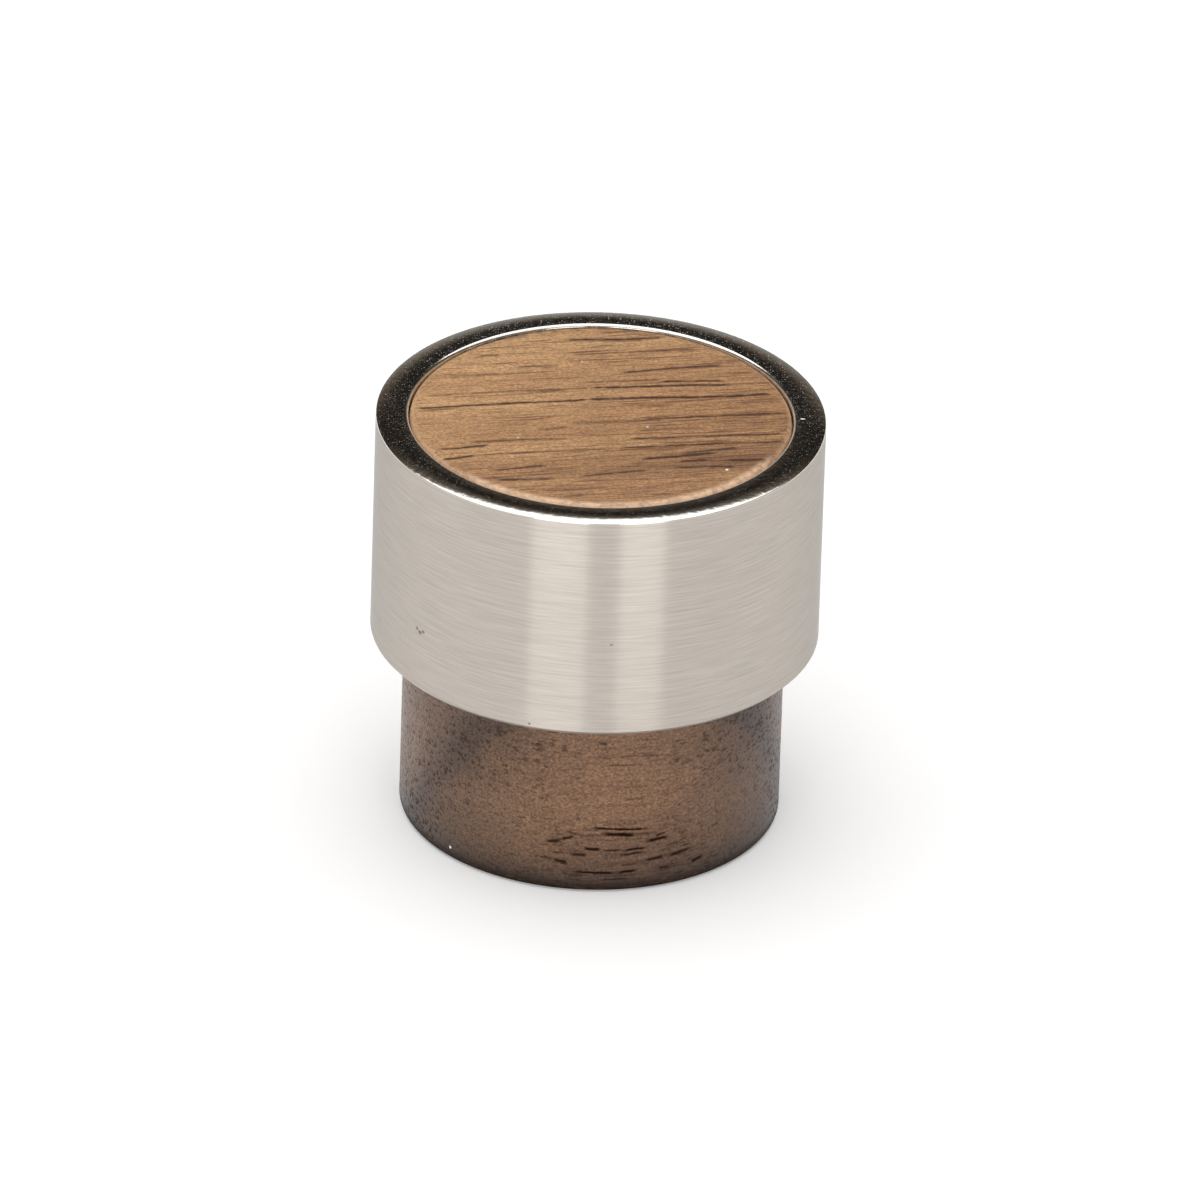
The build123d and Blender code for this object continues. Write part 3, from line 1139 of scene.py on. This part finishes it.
@dataclass
class BrassInsert:
    """The knurled insert: two toothed bands outside, and a real M4 thread inside."""

    mouth: float
    end: float
    knurl_radius: float = 3.5 * MM
    knurl_depth: float = 0.3 * MM
    groove_share: float = 0.66
    teeth: int = 24
    facets_per_tooth: int = 6
    band_length: float = 3.9 * MM
    neck_length: float = 1.2 * MM
    band_chamfer: float = 0.3 * MM
    pilot_radius: float = 3.1 * MM
    lead_in_radius: float = 2.2 * MM
    crest_radius: float = 1.65 * MM
    root_radius: float = 2.0 * MM
    pitch: float = 0.7 * MM
    sharp_deg: float = 30.0

    def build(self, brass: Material) -> bpy.types.Object:
        """Shapes the insert and gives it its metal.

        Args:
            brass: the metal.

        Returns:
            The piece.
        """
        shape = bmesh.new()
        facets = self.teeth * self.facets_per_tooth
        made = bmesh.ops.create_circle(shape, cap_ends=False, segments=facets, radius=self.lead_in_radius)
        bmesh.ops.translate(shape, verts=made["verts"], vec=(0.0, 0.0, self.mouth))
        ring = mouth_loop = shape.edges[:]
        first_end = self.mouth + self.band_length
        second_start = first_end + self.neck_length
        second_end = second_start + self.band_length
        for height, radius, toothed in (
            (self.mouth, self.knurl_radius, True),
            (first_end, self.knurl_radius, True),
            (first_end, self.pilot_radius, False),
            (second_start, self.pilot_radius, False),
            (second_start, self.knurl_radius, True),
            (second_end - self.band_chamfer, self.knurl_radius, True),
            (second_end, self.pilot_radius, False),
            (self.end, self.pilot_radius, False),
            (self.end, self.lead_in_radius, False),
        ):
            ring = self._next_ring(shape, ring, height, radius, toothed)
        low_loop, high_loop = self._cut_thread(shape, facets)
        bmesh.ops.bridge_loops(shape, edges=mouth_loop + low_loop)
        bmesh.ops.bridge_loops(shape, edges=ring + high_loop)
        bmesh.ops.remove_doubles(shape, verts=shape.verts[:], dist=MERGE_DISTANCE)
        bmesh.ops.recalc_face_normals(shape, faces=shape.faces[:])
        return finish_piece(shape, "brass_insert", "threaded_insert", [brass], self.sharp_deg)

    def _next_ring(
        self, shape: BMesh, ring: Edges, height: float, radius: float, toothed: bool
    ) -> Edges:
        """Extrudes a ring of edges to a new height and radius.

        Args:
            shape: the mesh.
            ring: the edges to extrude.
            height: the new ring's height.
            radius: the new ring's radius, at the tips if it has teeth.
            toothed: whether the ring has the knurl's V grooves.

        Returns:
            The new ring's edges.
        """
        made = bmesh.ops.extrude_edge_only(shape, edges=ring)["geom"]
        half = self.facets_per_tooth / 2
        step = math.tau / (self.teeth * self.facets_per_tooth)
        for vert in (part for part in made if isinstance(part, bmesh.types.BMVert)):
            angle = math.atan2(vert.co.y, vert.co.x)
            place = (angle / step) % self.facets_per_tooth
            from_groove = min(place, self.facets_per_tooth - place) / half
            depth = self.knurl_depth * max(0.0, 1.0 - from_groove / self.groove_share) if toothed else 0.0
            vert.co = Vector((math.cos(angle), math.sin(angle), 0.0)) * (radius - depth)
            vert.co.z = height
        return [part for part in made if isinstance(part, bmesh.types.BMEdge)]

    def _cut_thread(self, shape: BMesh, facets: int) -> tuple[Edges, Edges]:
        """Sweeps one pitch of thread up the bore and trims both ends square.

        Args:
            shape: the mesh.
            facets: facets in one turn.

        Returns:
            The edges of the lower end's loop and of the upper end's.
        """
        lead = self.lead_in_radius - self.root_radius
        low, high = self.mouth + lead, self.end - lead
        flat = self.pitch / 8
        slope = (self.pitch - 2 * flat) / 2
        start = low - self.pitch
        thread = bmesh.new()
        corners = [
            (self.crest_radius, start),
            (self.crest_radius, start + flat),
            (self.root_radius, start + flat + slope),
            (self.root_radius, start + 2 * flat + slope),
            (self.crest_radius, start + self.pitch),
        ]
        verts = [thread.verts.new((radius, 0.0, height)) for radius, height in corners]
        for a, b in zip(verts, verts[1:]):
            thread.edges.new((a, b))
        turns = math.ceil((high - start) / self.pitch) + 1
        bmesh.ops.spin(
            thread,
            geom=thread.verts[:] + thread.edges[:],
            cent=(0.0, 0.0, 0.0),
            axis=(0.0, 0.0, 1.0),
            dvec=(0.0, 0.0, self.pitch / facets),
            angle=math.tau * turns,
            steps=facets * turns,
        )
        bmesh.ops.remove_doubles(thread, verts=thread.verts[:], dist=MERGE_DISTANCE * 10)
        for height, upward in ((low, -1.0), (high, 1.0)):
            bmesh.ops.bisect_plane(
                thread,
                geom=thread.verts[:] + thread.edges[:] + thread.faces[:],
                plane_co=(0.0, 0.0, height),
                plane_no=(0.0, 0.0, upward),
                clear_outer=True,
            )
        for vert in thread.verts:
            vert.co.z = min(max(vert.co.z, low), high)
        spare = bpy.data.meshes.new("thread")
        thread.to_mesh(spare)
        thread.free()
        known = set(shape.edges)
        shape.from_mesh(spare)
        bpy.data.meshes.remove(spare)
        open_edges = [edge for edge in shape.edges if edge not in known and edge.is_boundary]
        middle = (low + high) / 2
        lower = [edge for edge in open_edges if edge.verts[0].co.z < middle]
        upper = [edge for edge in open_edges if edge.verts[0].co.z > middle]
        return lower, upper


@dataclass
class Studio:
    """The floor, the light and the camera."""

    elevation_deg: float = 28.6
    roll_deg: float = 1.85
    distance: float = 1.5
    pixels_per_mm: float = 14.02
    picture_px: int = 1200
    sensor_mm: float = 36.0
    target_height: float = 15.0 * MM
    right_shift: float = 0.38 * MM
    up_shift: float = 1.14 * MM
    clip: Span = (0.1, 10.0)
    floor_radius: float = 1.5
    floor_facets: int = 96
    # Name, how far round to the right of the camera's side it stands, and width
    strips: tuple[tuple[str, float, float], ...] = (
        ("left_strip", -17.6, 0.334),
        ("right_strip", 22.05, 0.266),
    )
    strip_distance: float = 0.7
    strip_height: float = 0.36
    strip_level: float = 2.5
    sky_strength: float = 1.58
    sky_lean: Triple = (-0.26, 0.28, 0.0)
    # Height above the horizon in degrees, and how bright the sky is there
    sky_bands: tuple[Span, ...] = (
        (-90.0, 1.0), (3.0, 1.0), (4.5, 0.36), (10.0, 0.24), (18.0, 0.13), (24.0, 0.045), (28.0, 0.007),
        (31.0, 0.006), (34.0, 0.018), (38.0, 0.05), (41.3, 0.13), (44.3, 1.58), (90.0, 1.58),
    )
    belt_tint: Triple = (1.3, 1.0, 0.7)
    belt_levels: Span = (0.01, 0.12)
    front_glow: float = 0.25
    front_glow_end: Span = (38.0, 44.0)

    def build(self) -> None:
        """Makes the whole set."""
        self._floor()
        self._world()
        for strip in self.strips:
            self._softbox(*strip)
        self._camera()
        bpy.context.scene.view_settings.view_transform = "Standard"

    def _floor(self) -> None:
        """A disc of white paper."""
        shape = bmesh.new()
        bmesh.ops.create_circle(shape, cap_ends=True, segments=self.floor_facets, radius=self.floor_radius)
        mesh = bpy.data.meshes.new("paper_floor")
        shape.to_mesh(mesh)
        shape.free()
        mesh.materials.append(StudioPaper().build())
        floor = bpy.data.objects.new("paper_floor", mesh)
        bpy.context.scene.collection.objects.link(floor)

    def _world(self) -> None:
        """A bright sky, brightest at the back left, over a dark belt that the polished rim mirrors.

        The belt is warm and nearly black behind the knob, and faintly lit in front of it.
        """
        world = bpy.data.worlds.new("light_dome")
        nodes = Nodes(world)
        direction = nodes.add("TexCoord").outputs["Generated"]
        axes = nodes.add("SeparateXYZ", direction).outputs
        bands = tuple((math.sin(math.radians(at)), level / self.sky_strength) for at, level in self.sky_bands)
        level = nodes.levels(axes["Z"], bands)
        untinted = nodes.add("MapRange", level, *self.belt_levels)
        tint = nodes.add("Mix", untinted, (*self.belt_tint, 1.0), grey(1.0), data_type="RGBA")
        front = nodes.add("Math POWER", nodes.add("Math MULTIPLY_ADD", axes["Y"], -0.5, 0.5), 2.0)
        low, high = (math.sin(math.radians(height)) for height in self.front_glow_end)
        glow = nodes.add("MapRange", axes["Z"], low, high, 1.0, 0.0)
        glow = nodes.add("Math MULTIPLY", glow, self.front_glow / self.sky_strength)
        glow = nodes.add("Math MULTIPLY", front, glow)
        colour = nodes.add("VectorMath ADD", nodes.add("VectorMath SCALE", tint, level), glow)
        lean = nodes.add("VectorMath DOT_PRODUCT", direction, self.sky_lean)
        strength = nodes.add("Math MULTIPLY_ADD", lean, self.sky_strength, self.sky_strength)
        nodes.add("OutputWorld", nodes.add("Background", colour, strength))
        bpy.context.scene.world = world

    def _softbox(self, name: str, azimuth_deg: float, width: float) -> None:
        """A lamp that stands upright on the floor and faces the knob.

        Args:
            name: the lamp's name.
            azimuth_deg: how far round from the camera's side it stands, to the right.
            width: its width.
        """
        lamp = bpy.data.lights.new(name, "AREA")
        lamp.shape = "RECTANGLE"
        lamp.size = width
        lamp.size_y = self.strip_height
        lamp.energy = self.strip_level * math.pi * width * self.strip_height
        azimuth = math.radians(azimuth_deg)
        away = Vector((math.sin(azimuth), -math.cos(azimuth), 0.0))
        lamp_object = bpy.data.objects.new(name, lamp)
        lamp_object.location = away * self.strip_distance + Vector((0.0, 0.0, self.strip_height / 2))
        lamp_object.rotation_euler = away.to_track_quat("Z", "Y").to_euler()
        bpy.context.scene.collection.objects.link(lamp_object)

    def _camera(self) -> None:
        """The photograph's viewpoint: from above, nearly parallel, and turned a little."""
        elevation, roll = math.radians(self.elevation_deg), math.radians(self.roll_deg)
        back = Vector((0.0, -math.cos(elevation), math.sin(elevation)))
        up = Vector((0.0, math.sin(elevation), math.cos(elevation)))
        right = Vector((1.0, 0.0, 0.0))
        picture_right = right * math.cos(roll) + up * math.sin(roll)
        picture_up = up * math.cos(roll) - right * math.sin(roll)
        target = Vector((0.0, 0.0, self.target_height))
        target += picture_right * self.right_shift + picture_up * self.up_shift
        camera = bpy.data.cameras.new("camera")
        camera.sensor_width = self.sensor_mm
        camera.lens = self.pixels_per_mm / MM * self.distance / self.picture_px * self.sensor_mm
        camera.clip_start, camera.clip_end = self.clip
        camera_object = bpy.data.objects.new("camera", camera)
        turned = Matrix((picture_right, picture_up, back)).transposed().to_4x4()
        camera_object.matrix_world = Matrix.Translation(target + back * self.distance) @ turned
        bpy.context.scene.collection.objects.link(camera_object)
        bpy.context.scene.camera = camera_object


def main() -> None:
    """Builds the knob and its set, piece by piece."""
    logging.basicConfig(level=logging.INFO, format="%(name)s: %(message)s")
    core_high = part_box("wood_core")[1]
    collar_low, collar_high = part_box("collar")
    insert_low, insert_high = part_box("threaded_insert")

    core = WalnutCore(radius=core_high.x, top=core_high.z)
    core.build(Walnut().build())
    collar = NickelCollar(collar_high.x, bore_radius=core.radius, foot=collar_low.z, rim=collar_high.z)
    collar.build(SatinNickel().build(), PolishedNickel().build())
    BrassInsert(mouth=insert_low.z, end=insert_high.z).build(TurnedBrass().build())
    Studio().build()


if __name__ == "__main__":
    main()
